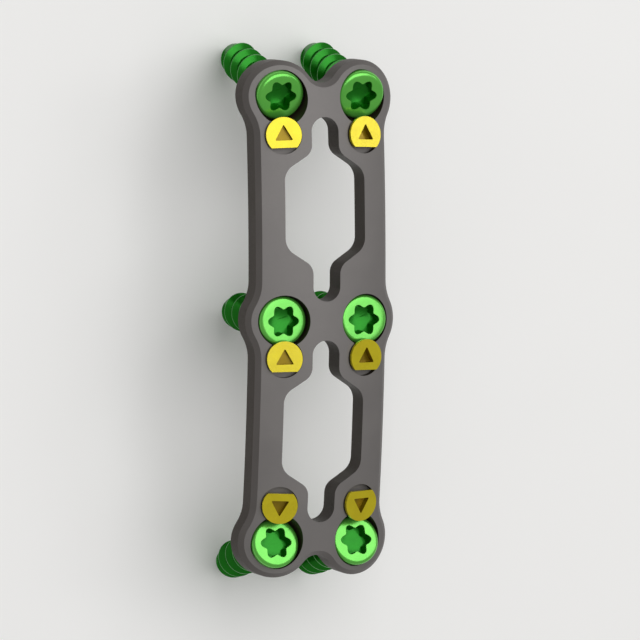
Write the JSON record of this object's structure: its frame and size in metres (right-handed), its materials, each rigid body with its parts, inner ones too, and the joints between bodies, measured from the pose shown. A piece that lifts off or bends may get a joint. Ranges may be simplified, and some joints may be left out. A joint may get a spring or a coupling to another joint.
{
  "type": "anterior cervical plate",
  "caption": "Curved titanium neck fusion plate with graft windows, bone screws in recessed seats and turning D-shaped cams that lock the screw heads",
  "frame": {"origin": "on the floor under the middle of the plate, at the level of the end screws' tips", "axes": "+Z out of the plate's front face, +Y along the plate towards the head, +X across it to the viewer's right"},
  "size_m": [0.0144, 0.0492, 0.0156],
  "materials": {
    "plate_titanium": "fine satin titanium",
    "screw_green": "green anodised titanium, glossy",
    "cam_yellow": "yellow anodised titanium, glossy"
  },
  "bodies": {
    "plate_and_screws": {"plate": "plate_titanium", "screw_upper_left": "screw_green", "screw_upper_right": "screw_green", "screw_middle_left": "screw_green", "screw_middle_right": "screw_green", "screw_lower_left": "screw_green", "screw_lower_right": "screw_green"},
    "cam_upper_left": {"cam_upper_left": "cam_yellow"},
    "cam_upper_right": {"cam_upper_right": "cam_yellow"},
    "cam_middle_left": {"cam_middle_left": "cam_yellow"},
    "cam_middle_right": {"cam_middle_right": "cam_yellow"},
    "cam_lower_left": {"cam_lower_left": "cam_yellow"},
    "cam_lower_right": {"cam_lower_right": "cam_yellow"}
  },
  "joints": [
    {"name": "cam_turn_upper_left", "type": "hinge", "parent": "plate_and_screws", "child": "cam_upper_left", "pos_m": [-0.0039, 0.01665, 0.01418], "axis": [-0.195, 0.098, 0.9759], "range_deg": [0, 180]},
    {"name": "cam_turn_upper_right", "type": "hinge", "parent": "plate_and_screws", "child": "cam_upper_right", "pos_m": [0.0039, 0.01665, 0.01418], "axis": [0.195, 0.098, 0.9759], "range_deg": [0, 180]},
    {"name": "cam_turn_middle_left", "type": "hinge", "parent": "plate_and_screws", "child": "cam_middle_left", "pos_m": [-0.0039, -0.00335, 0.01498], "axis": [-0.195, -0.0197, 0.9806], "range_deg": [0, 180]},
    {"name": "cam_turn_middle_right", "type": "hinge", "parent": "plate_and_screws", "child": "cam_middle_right", "pos_m": [0.0039, -0.00335, 0.01498], "axis": [0.195, -0.0197, 0.9806], "range_deg": [0, 180]},
    {"name": "cam_turn_lower_left", "type": "hinge", "parent": "plate_and_screws", "child": "cam_lower_left", "pos_m": [-0.0039, -0.01665, 0.01418], "axis": [-0.195, -0.098, 0.9759], "range_deg": [0, 180]},
    {"name": "cam_turn_lower_right", "type": "hinge", "parent": "plate_and_screws", "child": "cam_lower_right", "pos_m": [0.0039, -0.01665, 0.01418], "axis": [0.195, -0.098, 0.9759], "range_deg": [0, 180]}
  ]
}
